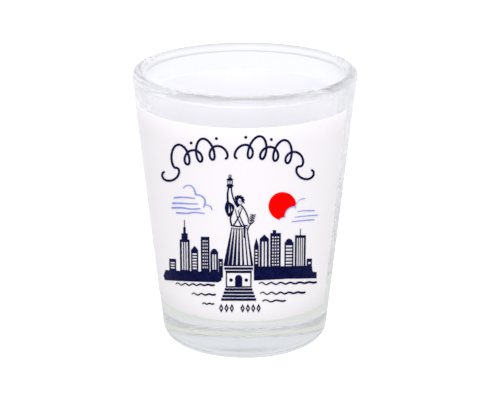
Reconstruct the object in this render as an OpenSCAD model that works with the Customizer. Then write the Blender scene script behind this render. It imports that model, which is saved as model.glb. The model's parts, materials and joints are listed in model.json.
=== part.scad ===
// Souvenir shot glass: a heavy-based tapered glass with a white wrap and a printed harbour scene.
// The foot stands on z = 0, the axis is Z and the printed scene faces -Y.

/* [Glass] */
// Overall height of the glass
glass_h = 60; // [58:1:70]
// Outside diameter of the wall at the rim
rim_d = 48.2; // [46:0.1:52]
// Outside diameter of the wall where it would meet the table
foot_d = 35.4; // [34:0.1:40]
// Thickness of the wall just below the rim
rim_wall = 2.5; // [2:0.1:3]
// How far the fire-polished bead of the rim stands out from each side of the wall
rim_bead = 0.12; // [0.05:0.01:0.25]
// Thickness of the wall at the cup floor
floor_wall = 3.6; // [3:0.1:4.5]
// Height of the cup floor above the table
floor_h = 12; // [8:0.5:16]
// Radius of the corner between the cup floor and the wall
floor_r = 5; // [2:0.5:6]
// Radius of the heel between the wall and the foot
heel_r = 3; // [2:0.1:4]
// Diameter of the shallow hollow under the foot
punt_d = 23; // [16:1:25]
// Depth of the hollow under the foot
punt_h = 0.8; // [0.4:0.1:1.5]

/* [White wrap] */
// Height of the lower edge of the white coat
wrap_low = 9.6; // [8:0.1:10.5]
// Clear glass between the upper edge of the white coat and the rim
wrap_drop = 6.4; // [5:0.1:6.5]
// Thickness of the white coat
wrap_t = 0.12; // [0.1:0.01:0.2]
// Angle from the front to the right-hand end of the wrap
wrap_edge = 64.5; // [60:0.5:80]
// Angle of bare glass between the two ends of the wrap
wrap_gap = 40; // [20:1:60]

/* [Printed scene] */
// Thickness of the coloured inks
ink_t = 0.08; // [0.06:0.01:0.15]
// Downward slope at which the flat artwork is laid onto the wall
art_pitch = 18.4; // [14:0.1:19]
// Width of the pen line in the title flourish
pen_w = 0.46; // [0.3:0.01:0.5]
// Half the width of the finest line that the ink screen holds
ink_fine = 0.03; // [0.02:0.01:0.04]

/* [Hidden] */
$fn = 96;

navy = "#0a0d3c";
lavender = "#96a0e1";
sky_blue = "#96c8ff";

// ---- Outline of the glass ----
slope = (rim_d - foot_d) / 2 / glass_h;
lean = atan(slope);
lip_r = rim_wall / 2 + rim_bead;

function outside(z) = foot_d / 2 + slope * z;

heel = [outside(heel_r) - heel_r / cos(lean), heel_r];
lip = [outside(glass_h - lip_r) - rim_wall / 2 / cos(lean), glass_h - lip_r];
wall_foot = [outside(floor_h) - floor_wall, floor_h];

// The inner wall runs from the cup floor to the inner side of the lip's middle
rise = lip - wall_foot;
inner_lean = atan2(rise[0], rise[1]) - asin(rim_wall / 2 / norm(rise));

function inside(z) = wall_foot[0] + (z - floor_h) * tan(inner_lean);

corner = [inside(floor_h + floor_r) - floor_r / cos(inner_lean), floor_h + floor_r];

function beside(centre, r, angle, side) = centre + side * r * [cos(angle), -sin(angle)];

module glass_half() {
    difference() {
        union() {
            polygon([
                [0, 0],
                [heel[0], 0],
                beside(heel, heel_r, lean, 1),
                beside(lip, rim_wall / 2, lean, 1),
                lip,
                beside(lip, rim_wall / 2, inner_lean, -1),
                beside(corner, floor_r, inner_lean, 1),
                corner,
                [corner[0], floor_h],
                [0, floor_h]
            ]);
            translate(heel) circle(heel_r);
            translate(lip) circle(lip_r);
        }
        translate(corner) circle(floor_r);
        punt_half();
    }
}

// The hollow under the foot is a shallow part of a large sphere
module punt_half() {
    dome_r = (punt_d * punt_d / 4 + punt_h * punt_h) / (2 * punt_h);
    intersection() {
        translate([0, punt_h - dome_r]) circle(dome_r);
        translate([0, -1]) square([punt_d, punt_h + 2]);
    }
}

module glass_body() {
    color("#dfe8ea", 0.45) rotate_extrude() glass_half();
}

// ---- Films on the wall ----
wrap_high = glass_h - wrap_drop;

// A film of thickness t whose inner face stands off the glass by gap
module film_half(low, high, gap, t) {
    polygon([
        [outside(low) + gap, low],
        [outside(low) + gap + t, low],
        [outside(high) + gap + t, high],
        [outside(high) + gap, high]
    ]);
}

module white_coating() {
    color("white")
        rotate([0, 0, wrap_edge + wrap_gap - 90])
            rotate_extrude(angle = 360 - wrap_gap)
                film_half(wrap_low, wrap_high, 0, wrap_t);
}

// Lays flat artwork on the front of the wall. The artwork is drawn as seen square on, with its
// origin on the axis at half height, and slopes down by art_pitch on its way to the glass.
module ink(name) {
    color(name)
        intersection() {
            rotate([0, 0, -180])
                rotate_extrude(angle = 180)
                    film_half(wrap_low, wrap_high, wrap_t, ink_t);
            translate([0, 0, glass_h / 2])
                rotate([90 - art_pitch, 0, 0])
                    linear_extrude(height = rim_d)
                        offset(delta = ink_fine) offset(delta = -ink_fine) children();
        }
}

// ---- Drawing tools ----
function unit(v) = v / max(norm(v), 0.0001);
function along(p, i) = unit(p[min(i + 1, len(p) - 1)] - p[max(i - 1, 0)]);
function across(p, i) = [-along(p, i)[1], along(p, i)[0]];
function mix(a, b, t) = a + (b - a) * t;

// A smooth curve through hand-set points
function knot(p, i) = p[max(0, min(len(p) - 1, i))];
function bend(a, b, c, d, t) =
    0.5 * (2 * b + (c - a) * t + (2 * a - 5 * b + 4 * c - d) * t * t
        + (3 * b - a - 3 * c + d) * t * t * t);
function smooth(p, steps = 5) = [
    for (i = [0 : len(p) - 2], k = [0 : steps - 1])
        bend(knot(p, i - 1), p[i], p[i + 1], knot(p, i + 2), k / steps),
    p[len(p) - 1]
];

// A pen line along the points of p, w0 wide at the start and w1 wide at the end
module stroke(p, w0, w1) {
    last = len(p) - 1;
    sides = [for (i = [0 : last]) across(p, i) * mix(w0, w1, i / last) / 2];
    for (i = [0 : last - 1]) {
        polygon([p[i] + sides[i], p[i + 1] + sides[i + 1], p[i + 1] - sides[i + 1], p[i] - sides[i]]);
    }
    translate(p[0]) circle(d = w0, $fn = 12);
    translate(p[last]) circle(d = w1, $fn = 12);
}

module brush(p, w0, w1) {
    stroke(smooth(p), w0, w1);
}

// A line round part of a circle
function on_circle(centre, r, angle) = centre + r * [cos(angle), sin(angle)];
module arc(centre, r, from, to, w0, w1) {
    stroke([for (k = [0 : 12]) on_circle(centre, r, mix(from, to, k / 12))], w0, w1);
}

// A block with its lower left corner at [x0, y0]
module block(x0, x1, y0, y1) {
    translate([x0, y0]) square([x1 - x0, y1 - y0]);
}

// A row of n upright bars, each w wide, spread from x0 to x1
module bars(x0, x1, y0, y1, n, w) {
    for (k = [0 : n - 1]) {
        x = mix(x0, x1, (k + 0.5) / n);
        block(x - w / 2, x + w / 2, y0, y1);
    }
}

// A stack of n level bars, each w thick, spread from y0 to y1
module rungs(x0, x1, y0, y1, n, w) {
    for (k = [0 : n - 1]) {
        y = mix(y0, y1, (k + 0.5) / n);
        block(x0, x1, y - w / 2, y + w / 2);
    }
}

// ---- Title flourish ----
// The pen loops stand on a gentle arch
function arch(x) = 9 - 0.0107 * (x + 1) * (x + 1);
loop_pitch = 2.6;
loop_reach = 1.1;
loop_lean = 0.2;
loop_steps = 20;
tall = 4.6;
short = 2.7;
// Depth of the curl that hangs from the outer end of each run
curl = -2.3;

// One run of pen loops from x0, going right (way = 1) or left (way = -1), a height for each loop
function loops(x0, way, heights) = [
    for (k = [0 : len(heights) * loop_steps])
        let (
            turn = k / loop_steps,
            h = heights[min(floor(turn), len(heights) - 1)],
            y = h * (1 - cos(360 * turn)) / 2,
            x = x0 + way * (loop_pitch * turn - loop_reach * sin(360 * turn) + loop_lean * y)
        )
        [x, arch(x) + y]
];

module title_flourish() {
    ink(navy) {
        stroke(loops(-3.9, -1, [short, tall, short, tall, curl]), pen_w, pen_w);
        stroke(loops(-1.7, 1, [short, tall, short, tall, short, curl]), pen_w, pen_w);
        for (x = [-11, -5.8, 0.2, 5.4]) translate([x, arch(x) + tall - 0.4]) circle(pen_w * 0.65, $fn = 20);
    }
}

// ---- Sun and clouds ----
sun = [7.8, -0.8];
sun_r = 2.9;
// Centre and radius of each puff of the cloud in front of the sun
puffs = [[[12.3, -1], 1.75], [[10.3, -2.9], 1.95], [[8.1, -4.4], 1.2]];

module sun_disc() {
    ink("red") difference() {
        translate(sun) circle(sun_r, $fn = 72);
        for (p = puffs) translate(p[0]) circle(p[1] + 0.1, $fn = 48);
    }
}

module cloud_edge() {
    ink(sky_blue) {
        arc(puffs[0][0], puffs[0][1], 135, 187, 0.14, 0.24);
        arc(puffs[1][0], puffs[1][1], 88, 184, 0.24, 0.24);
        arc(puffs[2][0], puffs[2][1], 84, 150, 0.2, 0.14);
    }
}

module cloud_streaks() {
    ink(lavender) {
        arc(puffs[0][0], puffs[0][1], 128, 86, 0.14, 0.2);
        stroke(smooth([[11, -1.95], [12.4, -1.75], [14.5, -1.75]]), 0.16, 0.24);
        stroke(smooth([[10.4, -3.1], [12.8, -2.85], [15.2, -2.7]]), 0.16, 0.28);
        stroke(smooth([[9.8, -4.05], [12.2, -3.8], [14.5, -3.65]]), 0.2, 0.26);
    }
}

module left_cloud() {
    ink(lavender) {
        brush([[-12.8, 2.9], [-12.2, 3.45], [-11.2, 3.45], [-10.5, 2.7], [-10.2, 1.65]], 0.16, 0.34);
        brush([[-10.2, 1.6], [-9.3, 1.45], [-8.5, 0.9], [-8.2, 0.1], [-8.5, -0.95]], 0.3, 0.34);
        brush([[-8.4, -0.55], [-7.6, -0.6], [-7.05, -0.95], [-6.85, -1.5]], 0.2, 0.26);
        brush([[-14.7, 0.95], [-13.6, 1.05], [-12, 1], [-10.4, 0.8]], 0.36, 0.24);
        brush([[-15.1, -0.2], [-13.4, -0.2], [-11.5, -0.3], [-9.8, -0.35]], 0.4, 0.2);
        brush([[-15.2, -1.15], [-13.2, -1.15], [-11.2, -1.4], [-9.3, -1.35]], 0.38, 0.26);
        brush([[-14.3, -2.2], [-12, -2.3], [-10.6, -2.1], [-8.4, -2.3]], 0.36, 0.24);
    }
}

// ---- Skylines ----
// Level that the towers of both banks start from, inside the dark of the quay
quay = -15.8;
// Dark wall round the lit face of a tower
tower_edge = 0.28;
// Share of a lit face that is lit, the rest being ribs or floors
lit_share = 0.58;

// A row of n round-topped openings, each w wide, from x0 to x1 and from y0 up to the top of the arch
module arcade(x0, x1, y0, y1, n, w) {
    bars(x0, x1, y0, y1 - w / 2, n, w);
    for (k = [0 : n - 1]) {
        translate([mix(x0, x1, (k + 0.5) / n), y1 - w / 2]) circle(d = w, $fn = 16);
    }
}

// A face lit in n upright strips, in n floors, or in a grid n windows high
module lit_face(x0, x1, y0, y1, kind, n) {
    if (kind == "strips") bars(x0, x1, y0, y1, n, (x1 - x0) / n * lit_share);
    if (kind == "floors") rungs(x0, x1, y0, y1, n, (y1 - y0) / n * lit_share);
    if (kind == "grid") intersection() {
        bars(x0, x1, y0, y1, 3, (x1 - x0) / 3 * lit_share);
        rungs(x0, x1, y0, y1, n, (y1 - y0) / n * lit_share);
    }
}

// Each tower is [left side, right side, roof, bottom of the lit face, kind of face, count]
module towers(rows) {
    for (row = rows) difference() {
        block(row[0], row[1], quay, row[2]);
        lit_face(row[0] + tower_edge, row[1] - tower_edge, row[3], row[2] - 2 * tower_edge, row[4], row[5]);
    }
}

// A pitched roof that overlaps the wall under it
module gable(x0, x1, y, rise) {
    polygon([[x0, y - 0.1], [x0, y], [(x0 + x1) / 2, y + rise], [x1, y], [x1, y - 0.1]]);
}

module left_skyline() {
    ink(navy) {
        polygon([[-17.5, -15.8], [-17.2, -16.7], [-5.6, -16.8], [-4.9, -16.4], [-4.9, -14.6], [-17, -14.5]]);
        towers([
            [-16.1, -14.6, -12, -14.2, "floors", 3],
            [-13.7, -11.6, -7.8, -14.3, "strips", 3],
            [-11.3, -9.8, -10, -14.2, "floors", 6],
            [-9.2, -7.4, -7.2, -14, "grid", 9],
            [-7.2, -5.6, -10.3, -14.1, "strips", 2],
            [-5.5, -4.6, -11.8, -13.4, "floors", 2]
        ]);
        // Stepped crown and mast
        block(-13.3, -12, -7.9, -6.5);
        block(-12.9, -12.4, -6.6, -5.2);
        block(-12.73, -12.57, -5.3, -3.7);
        gable(-11.3, -9.8, -10, 0.9);
        translate([-6.4, -10.3]) circle(0.62, $fn = 32);
    }
}

module right_skyline() {
    ink(navy) {
        polygon([
            [1.9, -16.4], [1.9, -13.4], [14.2, -13.4], [14.4, -14.7], [15.3, -14.9], [15.3, -16.2], [9, -16.1]
        ]);
        towers([
            [1.9, 2.9, -9.2, -13, "floors", 5],
            [3.1, 5, -7.6, -14.6, "strips", 2],
            [5.3, 7.5, -6.4, -13.4, "grid", 10],
            [8.3, 10.2, -8.3, -14.4, "floors", 8],
            [10.5, 12.8, -6.9, -14.8, "strips", 4],
            [13.1, 14.2, -11.9, -13.2, "floors", 1]
        ]);
        gable(1.9, 2.9, -9.2, 1.8);
        gable(3.1, 5, -7.6, 0.9);
        block(5.8, 6.5, -6.5, -5.8);
        translate([9.25, -8.3]) circle(0.7, $fn = 32);
        block(11.57, 11.73, -7, -5.5);
    }
}

// ---- Monument ----
// A robed figure of no one in particular, holding up a lantern and carrying a leafy branch
head = [-1.2, 0.3];
face = head + [0.22, -0.1];
lantern_x = -3.05;
waist = -4.8;
hem = -13.15;
pleats = 7;

module monument_figure() {
    ink(navy) {
        lantern();
        hair();
        calm_face();
        wreath();
        raised_arm();
        bodice();
        skirt();
        branch_hand();
    }
}

// A lantern with a ring, a peaked roof and two panes
module lantern() {
    translate([lantern_x, 0]) {
        translate([0, 5.35]) difference() {
            circle(0.33, $fn = 24);
            circle(0.16, $fn = 24);
        }
        polygon([[-0.75, 4.6], [-0.1, 5.15], [0.1, 5.15], [0.75, 4.6]]);
        difference() {
            block(-0.55, 0.55, 3.5, 4.7);
            bars(-0.45, 0.45, 3.75, 4.4, 2, 0.27);
        }
        block(-0.7, 0.7, 3.2, 3.55);
        block(-0.45, 0.45, 2.9, 3.25);
    }
}

module hair() {
    difference() {
        union() {
            translate(head) scale([1, 1.25]) circle(0.76, $fn = 32);
            polygon([[-1.9, 0.5], [-1, 0.5], [-1.1, -0.8], [-1.6, -1.1], [-2.05, -0.4]]);
        }
        translate(face) scale([1, 1.35]) circle(0.46, $fn = 32);
    }
}

// Two lowered eyes, a straight nose and a level mouth
module calm_face() {
    for (side = [-1, 1]) {
        translate(face + [side * 0.19, 0.1]) square([0.2, 0.08], center = true);
    }
    translate(face + [0, -0.07]) square([0.07, 0.2], center = true);
    translate(face + [0, -0.3]) square([0.22, 0.07], center = true);
}

// Leaves that lie close round the crown of the head, pointing forwards
module wreath() {
    for (k = [0 : 5]) {
        a = 150 - 30 * k;
        leaf = [on_circle(head, 0.74, a), on_circle(head, 1.04, a - 16), on_circle(head, 1.2, a - 26)];
        stroke(leaf, 0.5, 0.12);
    }
}

module raised_arm() {
    brush([[-3.3, 3.2], [-3.55, 1.7], [-3.5, 0.1]], 0.3, 0.44);
    brush([[-2.8, 3.2], [-2.6, 1.6], [-2, -0.2]], 0.26, 0.3);
    // Hanging sleeve, with light along two of its pleats
    difference() {
        polygon(smooth([[-3.7, 0.3], [-4.15, -1.2], [-3.4, -3], [-2.5, -2.2], [-2.2, -0.7], [-3.7, 0.3]]));
        polygon([[-3.25, -0.4], [-3.05, -2.1], [-3.4, -2.3]]);
        polygon([[-2.75, -0.7], [-2.6, -1.7], [-2.85, -1.9]]);
    }
}

// Crossed cloth from the shoulders down to a knotted sash
module bodice() {
    brush([[-2.6, -2.3], [-3, -3.4], [-2.75, waist]], 0.3, 0.34);
    brush([[-0.65, -0.7], [0.1, -1.8], [0.7, -3.3]], 0.3, 0.26);
    for (k = [0 : 1]) {
        x = 0.6 * k;
        brush([[x - 2, -1.4 - 0.2 * k], [x - 1.6, -3], [x - 0.7, waist - 0.15]], 0.12, 0.28);
    }
    brush([[-0.6, -1.2], [-1.2, -2.9], [-2.4, waist - 0.1]], 0.14, 0.34);
    brush([[-2.8, waist], [-1.2, waist - 0.25], [0.45, waist]], 0.3, 0.3);
    brush([[-2.8, waist - 0.5], [-1.2, waist - 0.75], [0.45, waist - 0.5]], 0.14, 0.14);
    block(-0.25, 0.15, waist - 2.6, waist);
}

// Straight pleats that open out from the sash to the hem, heavier on the shaded side
module skirt() {
    for (k = [0 : pleats - 1]) {
        t = k / (pleats - 1);
        top = mix(-2.75, 0.45, t);
        foot = mix(-4, 1.5, t);
        wide = k == pleats - 1 ? 0.5 : mix(0.9, 0.2, t);
        polygon([
            [top - 0.1, waist - 0.6], [top + 0.1, waist - 0.6], [foot + wide / 2, hem], [foot - wide / 2, hem]
        ]);
    }
    block(-4.4, 1.75, hem - 0.2, hem + 0.05);
}

// The forearm and hand, with a branch of paired leaves
module branch_hand() {
    brush([[0.7, -3.3], [0.75, -4.1], [1.2, -4.5], [1.9, -4]], 0.24, 0.2);
    brush([[1.35, -4.4], [0.85, -5], [0.55, -5.8]], 0.2, 0.26);
    polygon([[1.1, -4.4], [1.3, -4.4], [1.75, -2.4], [1.65, -2.4]]);
    for (k = [0 : 3]) translate([1.32 + 0.09 * k, -3.9 + 0.38 * k]) {
        polygon([[0, -0.12], [0.55, 0.05], [0.75, 0.3], [0, 0.12]]);
        polygon([[0.05, -0.12], [-0.35, 0.1], [-0.5, 0.4], [0.05, 0.12]]);
    }
}

// ---- Pedestal ----
pedestal_x = -1.3;
steps = 4;
step_h = 0.72;

module pedestal() {
    ink(navy) translate([pedestal_x, 0]) {
        // Cap and moulding
        block(-3, 3, -14.1, -13.6);
        block(-2.8, 2.8, -14.5, -14.3);
        // Block with an arched niche between two discs
        difference() {
            block(-2.7, 2.7, -17.9, -14.5);
            difference() {
                block(-2.45, 2.45, -17.6, -14.8);
                arcade(-1, 1, -17.7, -15.2, 1, 1.5);
                for (side = [-1, 1]) translate([side * 1.6, -16.3]) circle(0.36, $fn = 24);
            }
        }
        // Level steps, each wider than the one above
        for (k = [0 : steps - 1]) {
            half = 2.9 + 0.26 * k;
            top = -18.05 - step_h * k;
            block(-half, half, top - step_h + 0.2, top);
        }
    }
}

// ---- Water ----
// A row of ripples from x0 to x1 that flattens out towards x1
function ripples(x0, x1, y, high, count) = [
    for (k = [0 : 10 * count])
        let (t = k / (10 * count))
        [mix(x0, x1, t), y + high * (1 - 0.75 * t) * sin(360 * count * t)]
];

module left_waves() {
    ink(navy) {
        stroke(ripples(-14.7, -6.5, -17.4, 0.26, 5), 0.2, 0.42);
        stroke(ripples(-11.2, -6.3, -19.45, 0.24, 3), 0.22, 0.4);
        stroke(ripples(-8.9, -6.6, -21.45, 0.18, 2), 0.24, 0.32);
    }
}

module right_waves() {
    ink(navy) {
        stroke(ripples(3, 15.2, -17.05, 0.26, 6), 0.24, 0.46);
        stroke(ripples(3.3, 12.7, -19.15, 0.28, 5), 0.22, 0.46);
        stroke(ripples(3.8, 8.5, -20.8, 0.26, 2), 0.26, 0.38);
    }
}

// ---- Ornament below the scene ----
module caption_ornament() {
    ink(navy) {
        for (k = [0 : 7]) {
            if (k != 3) {
                translate([mix(-5, 2.9, k / 7), -22.35]) scale([0.45, 0.95]) difference() {
                    circle(1, $fn = 4);
                    circle(0.4, $fn = 4);
                }
            }
        }
    }
}

glass_body();
white_coating();
title_flourish();
sun_disc();
cloud_edge();
cloud_streaks();
left_cloud();
left_skyline();
right_skyline();
monument_figure();
pedestal();
left_waves();
right_waves();
caption_ornament();
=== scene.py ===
"""A clear, heavy-based shot glass with a white wrap coat and a printed harbour scene, on a pale floor."""

import json
import math

import bpy
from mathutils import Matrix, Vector


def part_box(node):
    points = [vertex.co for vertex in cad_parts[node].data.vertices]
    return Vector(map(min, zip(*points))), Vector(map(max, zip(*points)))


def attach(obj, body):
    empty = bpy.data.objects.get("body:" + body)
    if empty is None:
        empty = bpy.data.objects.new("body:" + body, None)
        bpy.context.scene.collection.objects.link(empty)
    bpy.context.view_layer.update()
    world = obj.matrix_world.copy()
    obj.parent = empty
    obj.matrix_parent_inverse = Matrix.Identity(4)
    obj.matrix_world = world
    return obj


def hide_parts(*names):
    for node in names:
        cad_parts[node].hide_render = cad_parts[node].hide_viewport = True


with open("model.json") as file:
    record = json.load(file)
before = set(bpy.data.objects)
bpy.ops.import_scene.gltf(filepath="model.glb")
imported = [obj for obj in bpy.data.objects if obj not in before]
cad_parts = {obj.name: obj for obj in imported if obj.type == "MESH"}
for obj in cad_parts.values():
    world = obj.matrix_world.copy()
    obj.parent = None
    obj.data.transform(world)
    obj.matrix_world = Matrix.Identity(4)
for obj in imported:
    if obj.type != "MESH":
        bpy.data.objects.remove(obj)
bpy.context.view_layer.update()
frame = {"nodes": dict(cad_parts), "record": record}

MM = 0.001


# ---------------------------------------------------------------- sizes, from the frame

wrap_low, wrap_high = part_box("white_coating")

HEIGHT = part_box("glass_body")[1].z
BASE_PLATE = 12 * MM  # thickness of the solid glass under the cup
RIM_WALL = 2.5 * MM
RIM_BEAD = 0.12 * MM  # how far the rim's bead stands out from each side of the wall
LIP_R = RIM_WALL / 2 + RIM_BEAD
NECK_R = 0.4 * MM  # radius of the fillet between the bead and the wall
FLOOR_WALL = 3.6 * MM  # thickness of the wall at the cup's floor
FLOOR_R = 5 * MM  # radius of the corner round the cup's floor
HEEL_R = 3 * MM
PUNT_R = 11.5 * MM  # the shallow hollow under the foot
PUNT_H = 0.8 * MM
COAT_T = 0.12 * MM
COAT_BITE = 0.02 * MM  # how far the coat keys into the glass, so that no faces coincide
COAT_FEATHER = 0.35 * MM  # how far in from its upper and lower edges the coat thins
COAT_EDGE = 0.03 * MM  # its thickness at those edges
WRAP_EDGE = math.radians(64.5)  # right-hand end of the wrap, from the front
WRAP_GAP = math.radians(40)  # bare glass between the wrap's two ends
GLASS_SEGMENTS = 288
COAT_SEGMENTS = 256

# The wall's outside is a straight cone, placed by the coat's upper edge
TOP_R = wrap_high.y - COAT_T
CONE_FLARE = 6.4 * MM  # how much the cone's radius grows over CONE_RISE
CONE_RISE = 60 * MM
SLOPE = CONE_FLARE / CONE_RISE


def outside(z):
    """Radius of the outer wall at height z."""
    return TOP_R + SLOPE * (z - wrap_high.z)


# ---------------------------------------------------------------- mesh tools


def arc(centre, r, start, end, steps):
    """Points round part of a circle in the (radius, height) plane; angles in degrees from +radius."""
    return [
        (
            centre[0] + r * math.cos(math.radians(start + (end - start) * k / steps)),
            centre[1] + r * math.sin(math.radians(start + (end - start) * k / steps)),
        )
        for k in range(steps + 1)
    ]


def line(a, b, steps):
    """Points between a and b, without either end."""
    return [
        (a[0] + (b[0] - a[0]) * k / steps, a[1] + (b[1] - a[1]) * k / steps)
        for k in range(1, steps)
    ]


def new_piece(name, points, faces, mat, sharp=60):
    """A smooth-shaded object in one material. Edges that turn by more than sharp degrees stay sharp."""
    mesh = bpy.data.meshes.new(name)
    mesh.from_pydata(points, [], faces)
    mesh.validate()
    mesh.shade_smooth()
    mesh.set_sharp_from_angle(angle=math.radians(sharp))
    mesh.materials.append(mat)
    piece = bpy.data.objects.new(name, mesh)
    bpy.context.scene.collection.objects.link(piece)
    return piece


def turned(outline, segments):
    """A closed body of revolution from an outline that starts and ends on the axis."""
    inner = outline[1:-1]
    points = [(0, 0, outline[0][1]), (0, 0, outline[-1][1])]
    for k in range(segments):
        a = 2 * math.pi * k / segments
        points += [(r * math.sin(a), -r * math.cos(a), z) for r, z in inner]
    count = len(inner)

    def at(k, i):
        return 2 + (k % segments) * count + i

    faces = []
    for k in range(segments):
        faces.append((0, at(k + 1, 0), at(k, 0)))
        faces += [(at(k, i), at(k + 1, i), at(k + 1, i + 1), at(k, i + 1)) for i in range(count - 1)]
        faces.append((1, at(k, count - 1), at(k + 1, count - 1)))
    return points, faces


def wrapped(outline, start, end, segments):
    """A closed outline swept from one angle to another, with a cap on each end. Angles from the front."""
    count = len(outline)
    points = []
    for k in range(segments + 1):
        a = start + (end - start) * k / segments
        points += [(r * math.sin(a), -r * math.cos(a), z) for r, z in outline]
    faces = [
        (k * count + i, (k + 1) * count + i, (k + 1) * count + (i + 1) % count, k * count + (i + 1) % count)
        for k in range(segments)
        for i in range(count)
    ]
    faces.append(tuple(range(count)))
    faces.append(tuple(segments * count + i for i in reversed(range(count))))
    return points, faces


# ---------------------------------------------------------------- material tools


def material(name):
    """A new node material and its Principled shader."""
    made = bpy.data.materials.new(name)
    made.use_nodes = True
    return made, made.node_tree.nodes["Principled BSDF"]


def node(owner, kind, **settings):
    """A new node in a material or world, with values for its sockets or its own settings."""
    made = owner.node_tree.nodes.new(kind)
    for key, value in settings.items():
        if key in made.inputs:
            made.inputs[key].default_value = value
        else:
            setattr(made, key, value)
    return made


def wire(owner, a, out, b, into):
    """Links a's output to b's input; sockets go by name or number."""
    owner.node_tree.links.new(a.outputs[out], b.inputs[into])


def noise(owner, scale, detail=3.0, roughness=0.5):
    """Noise in the object's own space, so that scale counts features per metre."""
    place = node(owner, "ShaderNodeTexCoord")
    made = node(owner, "ShaderNodeTexNoise", Scale=scale, Detail=detail, Roughness=roughness)
    wire(owner, place, "Object", made, "Vector")
    return made


def spread(owner, source, out, low, high, at=(0.3, 0.7)):
    """Maps a value's range, at, to low..high and holds it beyond. The default is a noise's middle range."""
    made = node(owner, "ShaderNodeMapRange")
    made.inputs["From Min"].default_value = at[0]
    made.inputs["From Max"].default_value = at[1]
    made.inputs["To Min"].default_value = low
    made.inputs["To Max"].default_value = high
    wire(owner, source, out, made, "Value")
    return made


def two_tone(owner, source, out, first, second):
    """A colour between first and second, as the source goes from 0 to 1."""
    made = node(owner, "ShaderNodeMix", data_type="RGBA")
    made.inputs["A"].default_value = (*first, 1)
    made.inputs["B"].default_value = (*second, 1)
    wire(owner, source, out, made, "Factor")
    return made


def times(owner, a, b):
    """The product of two nodes' first outputs."""
    made = node(owner, "ShaderNodeMath", operation="MULTIPLY")
    wire(owner, a, 0, made, 0)
    wire(owner, b, 0, made, 1)
    return made


def distance_across(owner, split):
    """How far to the left or right a split vector points."""
    made = node(owner, "ShaderNodeMath", operation="ABSOLUTE")
    wire(owner, split, "X", made, "Value")
    return made


def bump(mat, shader, source, out, strength, distance):
    """Raises the surface with the source, by distance at full strength."""
    made = node(mat, "ShaderNodeBump", Strength=strength, Distance=distance)
    wire(mat, source, out, made, "Height")
    wire(mat, made, "Normal", shader, "Normal")


# ---------------------------------------------------------------- materials


def clear_glass():
    """Pressed soda-lime glass: slight green depth, faint waviness and a soft skin with a few smudges."""
    mat, shader = material("clear_glass")
    shader.inputs["Base Color"].default_value = (1, 1, 1, 1)
    shader.inputs["Transmission Weight"].default_value = 1
    shader.inputs["IOR"].default_value = 1.52
    smudge = noise(mat, scale=90, detail=4)
    gloss = spread(mat, smudge, "Fac", low=0.09, high=0.12, at=(0.5, 0.75))
    wire(mat, gloss, "Result", shader, "Roughness")
    wave = noise(mat, scale=25, detail=0)
    bump(mat, shader, wave, "Fac", strength=0.015, distance=0.1 * MM)
    depth = node(mat, "ShaderNodeVolumeAbsorption", Color=(0.93, 0.96, 0.93, 1), Density=14)
    wire(mat, depth, "Volume", mat.node_tree.nodes["Material Output"], "Volume")
    return mat


def baked_skin(mat, shader, grain):
    """The uneven gloss and fine orange peel of a baked-on film; grain is how strong the peel is."""
    gloss = spread(mat, noise(mat, scale=420), "Fac", low=0.3, high=0.42)
    wire(mat, gloss, "Result", shader, "Roughness")
    peel = noise(mat, scale=1500, detail=2)
    bump(mat, shader, peel, "Fac", strength=grain, distance=0.02 * MM)


def white_coat():
    """The baked white wrap: glossy, very slightly mottled, with a fine orange-peel skin."""
    mat, shader = material("white_coat")
    mottle = noise(mat, scale=160, detail=4)
    tone = two_tone(mat, mottle, "Fac", (0.945, 0.92, 0.95), (0.96, 0.935, 0.965))
    wire(mat, tone, "Result", shader, "Base Color")
    shader.inputs["Specular IOR Level"].default_value = 0.2
    baked_skin(mat, shader, grain=0.2)
    return mat


def ink(name, thin, full):
    """A dye-print ink: thin and full are its colours where the print is lighter and heavier."""
    mat, shader = material(name)
    mottle = spread(mat, noise(mat, scale=900, detail=4, roughness=0.6), "Fac", low=0, high=1, at=(0.35, 0.6))
    tone = two_tone(mat, mottle, "Result", thin, full)
    wire(mat, tone, "Result", shader, "Base Color")
    shader.inputs["Specular IOR Level"].default_value = 0.03
    baked_skin(mat, shader, grain=0.15)
    return mat


# ---------------------------------------------------------------- the glass


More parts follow.
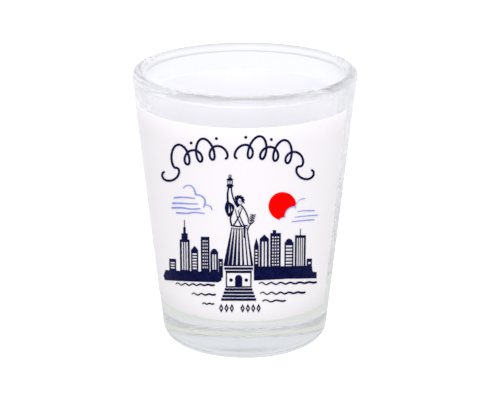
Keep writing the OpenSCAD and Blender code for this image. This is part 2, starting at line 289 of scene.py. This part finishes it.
def glass_outline():
    """Half of the glass, from the middle of its foot, round the outside and over the rim, to the cup's floor.

    The points are (radius, height), and the arcs and lines meet end to end.
    """
    lean = math.atan(SLOPE)
    half_wall = RIM_WALL / 2
    heel = (outside(HEEL_R) - HEEL_R / math.cos(lean), HEEL_R)
    lip = (outside(HEIGHT - LIP_R) - half_wall / math.cos(lean), HEIGHT - LIP_R)
    wall_foot = (outside(BASE_PLATE) - FLOOR_WALL, BASE_PLATE)
    rise = Vector((lip[0] - wall_foot[0], lip[1] - wall_foot[1]))
    inner_lean = math.atan2(rise.x, rise.y) - math.asin(half_wall / rise.length)

    def inside(z):
        return wall_foot[0] + (z - BASE_PLATE) * math.tan(inner_lean)

    corner_z = BASE_PLATE + FLOOR_R
    corner = (inside(corner_z) - FLOOR_R / math.cos(inner_lean), corner_z)
    outer_tilt = math.degrees(lean)
    inner_tilt = math.degrees(inner_lean)

    # The fillet under the bead touches the wall and the bead
    neck_out = half_wall + NECK_R
    neck_drop = math.sqrt((LIP_R + NECK_R) ** 2 - neck_out**2)
    neck_turn = math.degrees(math.atan2(neck_drop, neck_out))

    def neck(tilt, side):
        """Middle of the fillet on the outer (side = 1) or inner (side = -1) wall."""
        return (
            lip[0] + side * neck_out * math.cos(tilt) - neck_drop * math.sin(tilt),
            lip[1] - side * neck_out * math.sin(tilt) - neck_drop * math.cos(tilt),
        )

    dome_r = (PUNT_R**2 + PUNT_H**2) / (2 * PUNT_H)
    dome_half = math.degrees(math.asin(PUNT_R / dome_r))
    punt = arc((0, PUNT_H - dome_r), dome_r, 90, 90 - dome_half, steps=16)
    heel_arc = arc(heel, HEEL_R, -90, -outer_tilt, steps=30)
    outer_neck = arc(neck(lean, 1), NECK_R, 180 - outer_tilt, 180 - outer_tilt - neck_turn, steps=4)
    bead = arc(lip, LIP_R, -outer_tilt - neck_turn, 180 - inner_tilt + neck_turn, steps=48)
    inner_neck = arc(neck(inner_lean, -1), NECK_R, neck_turn - inner_tilt, -inner_tilt, steps=4)
    corner_arc = arc(corner, FLOOR_R, -inner_tilt, -90, steps=30)
    return (
        punt
        + line(punt[-1], heel_arc[0], steps=4)
        + heel_arc
        + line(heel_arc[-1], outer_neck[0], steps=24)
        + outer_neck
        + bead[1:-1]
        + inner_neck
        + line(inner_neck[-1], corner_arc[0], steps=20)
        + corner_arc
        + line(corner_arc[-1], (0, BASE_PLATE), steps=8)
        + [(0, BASE_PLATE)]
    )


def make_glass():
    """The glass, turned in one piece."""
    points, faces = turned(glass_outline(), GLASS_SEGMENTS)
    piece = new_piece("clear_shot_glass", points, faces, clear_glass(), sharp=80)
    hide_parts("glass_body")
    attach(piece, "root")


def make_coat():
    """The wrap, thinned at its upper and lower edges and keyed a little into the glass."""
    low, high = wrap_low.z, wrap_high.z
    face_rows = 12

    def at(z, out):
        return (outside(z) + out, z)

    face_low = low + COAT_FEATHER
    face_height = high - low - 2 * COAT_FEATHER
    edges = [at(high, COAT_EDGE), at(high, -COAT_BITE), at(low, -COAT_BITE), at(low, COAT_EDGE)]
    face = [at(face_low + face_height * k / face_rows, COAT_T) for k in range(face_rows + 1)]
    start = WRAP_EDGE + WRAP_GAP
    end = WRAP_EDGE + 2 * math.pi
    points, faces = wrapped(edges + face, start, end, COAT_SEGMENTS)
    piece = new_piece("white_wrap_coat", points, faces, white_coat(), sharp=50)
    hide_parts("white_coating")
    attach(piece, "root")


def colour_inks():
    """The ink areas are the CAD nodes themselves, each in its own ink."""
    inks = {
        "navy_ink": ink("navy_ink", (0.006, 0.009, 0.06), (0.002, 0.003, 0.035)),
        "red_ink": ink("red_ink", (1.0, 0.0, 0.0), (0.95, 0.0, 0.0)),
        "lavender_ink": ink("lavender_ink", (0.36, 0.42, 0.8), (0.26, 0.32, 0.72)),
        "sky_ink": ink("sky_ink", (0.4, 0.66, 0.98), (0.27, 0.54, 0.95)),
    }
    for part in frame["record"]["subparts"]:
        if part["material_slot"] in inks:
            shown = frame["nodes"][part["node"]]
            shown.data.materials.clear()
            shown.data.materials.append(inks[part["material_slot"]])


# ---------------------------------------------------------------- studio

# What the world and the floor show depends on the ray: the camera sees plain white and a pale floor,
# the glass sees an even room, and painted faces are lit mostly from above
BACKDROP = 1.1  # the world, as the camera sees it
ROOM_TINT = (0.92, 0.935, 1, 1)
ROOM_LIGHT = (0.82, 0.84)  # low down and overhead, as seen in the glass
ROOM_HEIGHTS = (0.05, 0.5)  # between which it changes, where 1 is straight up
PAINT_LIGHT = (0.5, 2.1)  # low down and overhead, as it falls on the paint
PAINT_HEIGHTS = (-0.1, 0.5)
LAMP_TINT = (1, 0.985, 1)
LAMP_TINT_IN_GLASS = (0.945, 0.97, 1)
PAINT_BEHIND_GLASS = 1.54  # how much brighter it is on paint that the light reaches through the glass
PAINT_DEEP_IN_GLASS = 1.2  # the same again where it is seen through more of the glass
SIDE_DIMMING = 0.5  # how much of the light on the paint is missing at the far left and right
SIDE_START = 0.4  # how far to the side that dimming starts, where 1 is straight to the side
FLOOR_TONES = ((0.9, 0.9, 0.9), (0.94, 0.94, 0.94))
FLOOR_GLOW = 0.5
FLOOR_TINT = (0.96, 0.965, 1)
FOOT_SHADE_TINT = (0.97, 1, 0.94)  # painted greenish shade on the floor's glow beside the foot
TINT_REACH = (0.02, 0.06)  # metres out, over which one tint passes into the other
FLOOR_IN_GLASS = (0.76, 1.03)  # beside the foot and far off; the dimmer glow beside the foot is painted shade
FLOOR_REACH = (0.035, 0.135)  # metres out, over which it changes
FLOOR_ASIDE = 0.84  # how much of that is left at the far left and right, as painted shade
ASIDE_REACH = (0.035, 0.11)  # metres to the side, over which it changes
FLOOR_BEHIND_GLASS = 2.3  # how much brighter the floor lights paint that is seen through the glass
CLEAR_BOUNCES = 40  # light runs a long way round inside a clear wall before it comes out
PAINT_BOUNCES = 12


def by_ray(owner, path, seen, in_glass, on_paint):
    """Shows one shader to the camera, one to rays in the glass and one to rays that leave painted faces."""
    unseen = node(owner, "ShaderNodeMixShader")
    wire(owner, path, "Diffuse Depth", unseen, "Fac")
    wire(owner, in_glass, 0, unseen, 1)
    wire(owner, on_paint, 0, unseen, 2)
    made = node(owner, "ShaderNodeMixShader")
    wire(owner, path, "Is Camera Ray", made, "Fac")
    wire(owner, unseen, 0, made, 1)
    wire(owner, seen, 0, made, 2)
    return made


def floor_in_glass(mat):
    """The floor as the glass sees it, as a glow with painted shade: greener and darker beside the foot, and
    darker at the sides.
    """
    place = node(mat, "ShaderNodeTexCoord")
    reach = node(mat, "ShaderNodeVectorMath", operation="LENGTH")
    wire(mat, place, "Object", reach, "Vector")
    split = node(mat, "ShaderNodeSeparateXYZ")
    wire(mat, place, "Object", split, "Vector")
    # Painted shade: the glow dims beside the foot and towards the far left and right
    out = spread(mat, reach, "Value", *FLOOR_IN_GLASS, FLOOR_REACH)
    aside = spread(mat, distance_across(mat, split), "Value", 1, FLOOR_ASIDE, ASIDE_REACH)
    # Painted greenish shade beside the foot, passing into the floor's own tint further out
    tint = two_tone(mat, spread(mat, reach, "Value", 0, 1, TINT_REACH), "Result", FOOT_SHADE_TINT, FLOOR_TINT)
    glow = node(mat, "ShaderNodeEmission")
    wire(mat, tint, "Result", glow, "Color")
    wire(mat, times(mat, out, aside), 0, glow, "Strength")
    return glow


def pale_floor():
    """A broad pale floor. The paint sees it as evenly lit, with no hot spots; the glass sees it with painted
    shade beside the foot and at the sides.
    """
    mat, shader = material("pale_floor")
    tone = two_tone(mat, noise(mat, scale=400), "Fac", *FLOOR_TONES)
    wire(mat, tone, "Result", shader, "Base Color")
    shader.inputs["Roughness"].default_value = 0.6
    shader.inputs["Specular IOR Level"].default_value = 0
    shader.inputs["Emission Color"].default_value = (1, 1, 1, 1)
    shader.inputs["Emission Strength"].default_value = FLOOR_GLOW
    path = node(mat, "ShaderNodeLightPath")
    glow = spread(
        mat, path, "Transmission Depth", PAINT_LIGHT[0], PAINT_LIGHT[0] * FLOOR_BEHIND_GLASS, at=(0, 1)
    )
    on_paint = node(mat, "ShaderNodeEmission")
    wire(mat, glow, "Result", on_paint, "Strength")
    shown = by_ray(mat, path, shader, floor_in_glass(mat), on_paint)
    wire(mat, shown, "Shader", mat.node_tree.nodes["Material Output"], "Surface")
    half = 3.0
    points = [(-half, -half, 0), (half, -half, 0), (half, half, 0), (-half, half, 0)]
    floor = new_piece("studio_floor", points, [(0, 1, 2, 3)], mat)


def paint_lamps(world, path, split):
    """Light for the painted faces: from above, dimmer at the sides, and brighter for paint behind glass."""
    above = spread(world, split, "Z", *PAINT_LIGHT, PAINT_HEIGHTS)
    aside = spread(world, distance_across(world, split), "Value", 1, 1 - SIDE_DIMMING, (SIDE_START, 1))
    through = spread(world, path, "Transmission Depth", 1, PAINT_BEHIND_GLASS, at=(0, 1))
    deeper = spread(world, path, "Transmission Depth", 1, PAINT_DEEP_IN_GLASS, at=(1, 3))
    strength = times(world, times(world, above, aside), times(world, through, deeper))
    tint = two_tone(world, path, "Transmission Depth", LAMP_TINT, LAMP_TINT_IN_GLASS)
    lamps = node(world, "ShaderNodeBackground")
    wire(world, tint, "Result", lamps, "Color")
    wire(world, strength, 0, lamps, "Strength")
    return lamps


def studio_world():
    """White to the camera, an even pale room in the glass, and light from above for the painted faces."""
    world = bpy.data.worlds.new("studio")
    world.use_nodes = True
    world.node_tree.nodes.clear()
    world.cycles.sampling_method = "NONE"
    path = node(world, "ShaderNodeLightPath")
    place = node(world, "ShaderNodeTexCoord")
    split = node(world, "ShaderNodeSeparateXYZ")
    wire(world, place, "Generated", split, "Vector")
    seen = node(world, "ShaderNodeBackground", Color=(1, 1, 1, 1), Strength=BACKDROP)
    room = node(world, "ShaderNodeBackground", Color=ROOM_TINT)
    height = spread(world, split, "Z", *ROOM_LIGHT, ROOM_HEIGHTS)
    wire(world, height, "Result", room, "Strength")
    shown = by_ray(world, path, seen, room, paint_lamps(world, path, split))
    wire(world, shown, "Shader", node(world, "ShaderNodeOutputWorld"), "Surface")
    bpy.context.scene.world = world


def front_lamp():
    """A small soft box, high in front of the glass."""
    lamp = bpy.data.lights.new("front_box", "AREA")
    lamp.shape = "RECTANGLE"
    lamp.size = 0.3
    lamp.size_y = 0.07
    lamp.energy = 1.2
    place = Vector((0, -0.75, 0.85))
    aim = Vector((0, 0, 0.04))
    holder = bpy.data.objects.new("front_box", lamp)
    holder.location = place
    holder.rotation_euler = (aim - place).to_track_quat("-Z", "Y").to_euler()
    bpy.context.scene.collection.objects.link(holder)


def make_camera():
    """A long lens, a little above the rim."""
    aim = Vector((0, 0, HEIGHT / 2))
    distance = 0.45
    elevation = math.radians(18.41)
    back = Vector((0, -math.cos(elevation), math.sin(elevation)))
    data = bpy.data.cameras.new("camera")
    data.sensor_width = 36
    data.lens = 155.6
    data.shift_x = -0.0101
    data.shift_y = 0.0047
    data.clip_start = 0.01
    camera = bpy.data.objects.new("camera", data)
    camera.location = aim + back * distance
    camera.rotation_euler = (-back).to_track_quat("-Z", "Y").to_euler()
    bpy.context.scene.collection.objects.link(camera)
    bpy.context.scene.camera = camera


def long_light_paths():
    """Enough bounces for the clear glass."""
    cycles = bpy.context.scene.cycles
    cycles.max_bounces = CLEAR_BOUNCES
    cycles.glossy_bounces = CLEAR_BOUNCES
    cycles.transmission_bounces = CLEAR_BOUNCES
    cycles.diffuse_bounces = PAINT_BOUNCES


make_camera()
make_glass()
make_coat()
colour_inks()
pale_floor()
studio_world()
front_lamp()
bpy.context.scene.view_settings.view_transform = "Standard"
long_light_paths()
